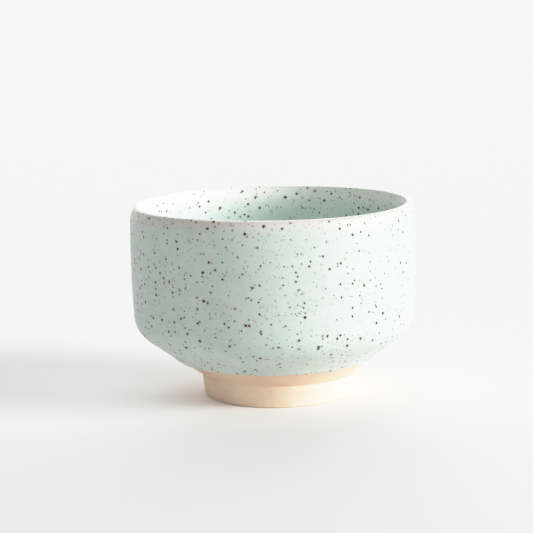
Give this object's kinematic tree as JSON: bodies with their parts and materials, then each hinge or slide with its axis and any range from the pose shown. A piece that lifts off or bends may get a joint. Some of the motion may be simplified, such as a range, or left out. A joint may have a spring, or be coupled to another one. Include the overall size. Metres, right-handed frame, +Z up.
{
  "type": "matcha bowl",
  "caption": "Half-cylinder tea bowl with a cut-back conical underside, a low off-centre foot ring and a pale glaze that stops short of the foot.",
  "frame": {"origin": "centre of the bowl on the surface that it stands on, on the axis its wall was thrown about", "axes": "+Z up out of the mouth; +X is the side towards which the foot ring is set off centre; +Y completes the frame"},
  "size_m": [0.12, 0.12, 0.081],
  "materials": {
    "stoneware": "unglazed buff stoneware, matt",
    "speckled_glaze": "pale mint glaze with iron specks, satin",
    "thin_glaze": "glaze worn thin over the lip, warm cream, satin"
  },
  "bodies": {
    "root": {"thrown_body": "stoneware", "foot_ring": "stoneware", "outer_glaze": "speckled_glaze", "inner_glaze": "speckled_glaze", "lip_glaze": "thin_glaze"}
  },
  "joints": []
}
